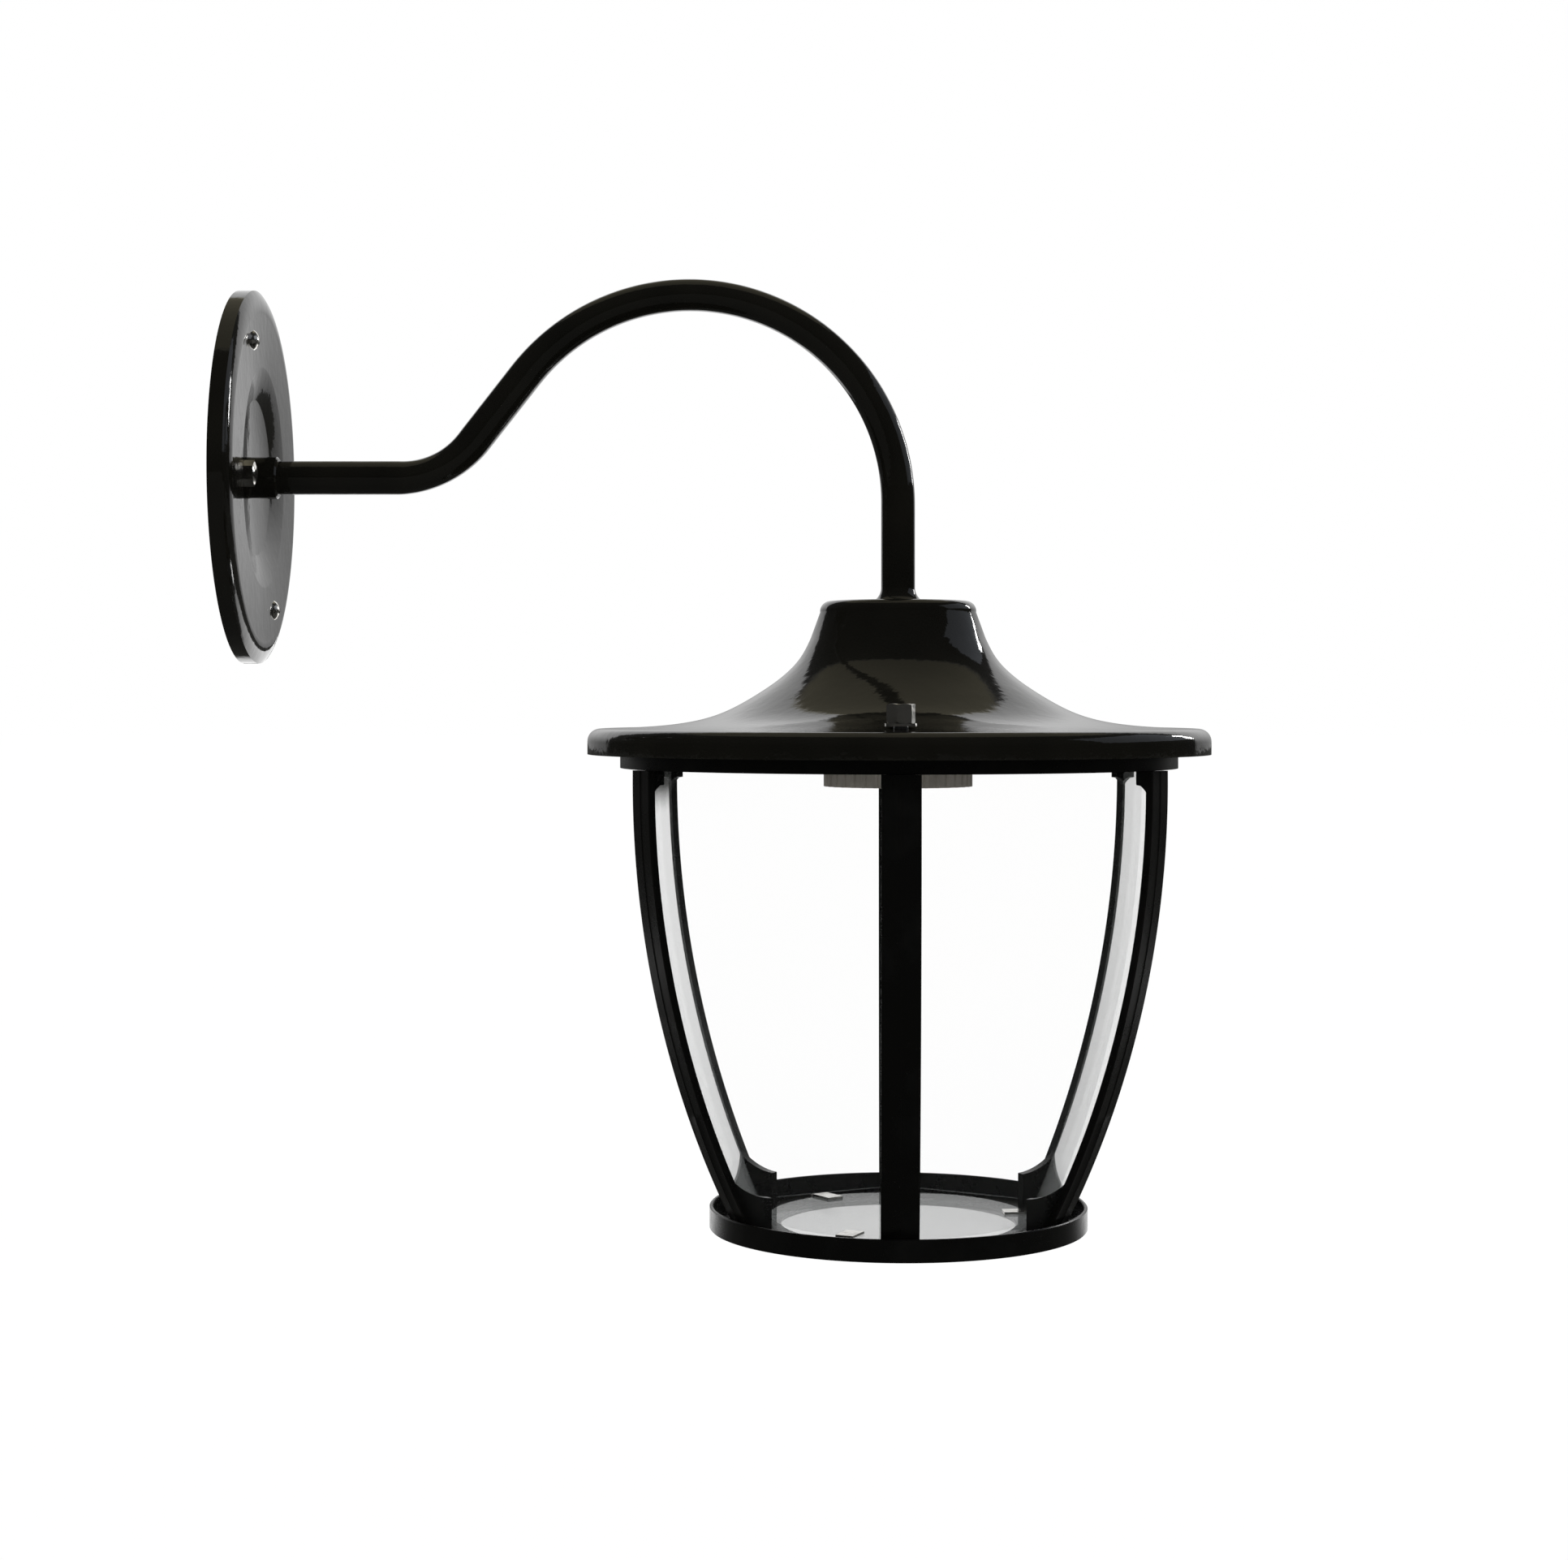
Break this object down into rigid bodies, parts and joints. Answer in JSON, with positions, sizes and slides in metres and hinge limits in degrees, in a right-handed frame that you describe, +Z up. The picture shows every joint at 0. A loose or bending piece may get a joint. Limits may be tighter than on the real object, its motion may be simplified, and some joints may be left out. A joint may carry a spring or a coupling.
{
  "type": "outdoor wall light",
  "caption": "Wall lantern with a swan-neck arm from a round wall plate, a flared enamelled hood and a tapering glazed cage of curved ribs over a round tray.",
  "frame": {"origin": "where the arm's axis meets the wall, at the middle of the wall plate's back", "axes": "+X out of the wall along the arm's root, +Z up"},
  "size_m": [0.4275, 0.275, 0.4203],
  "materials": {
    "black_enamel": "gloss enamel",
    "black_paint": "satin paint",
    "bright_plating": "bright plated",
    "zinc_steel": "zinc plated",
    "clear_pane": "clear",
    "grey_plastic": "moulded",
    "holder_plastic": "moulded",
    "holder_ceramic": "glazed",
    "brass": "bright"
  },
  "bodies": {
    "root": {"arm_collar": "black_enamel", "arm_lock_ring": "zinc_steel", "arm_tube": "black_enamel", "bottom_pane": "clear_pane", "bottom_tray": "black_paint", "clip_screws": "bright_plating", "hood": "black_enamel", "hood_bolts": "zinc_steel", "hood_ferrule": "black_enamel", "hood_lock_nut": "zinc_steel", "hood_lock_washer": "zinc_steel", "hood_nuts": "bright_plating", "hood_washers": "bright_plating", "lamp_body": "holder_ceramic", "lamp_cap": "holder_plastic", "lamp_ring": "grey_plastic", "pane_1": "clear_pane", "pane_2": "clear_pane", "pane_3": "clear_pane", "pane_4": "clear_pane", "pane_5": "clear_pane", "pane_6": "clear_pane", "pane_clips": "bright_plating", "rib_1": "black_paint", "rib_2": "black_paint", "rib_3": "black_paint", "rib_4": "black_paint", "rib_5": "black_paint", "rib_6": "black_paint", "socket_contact": "brass", "socket_sleeve": "brass", "top_ring": "black_paint", "wall_nuts": "bright_plating", "wall_plate": "black_enamel", "wall_screws": "bright_plating", "wall_studs": "zinc_steel"}
  },
  "joints": []
}
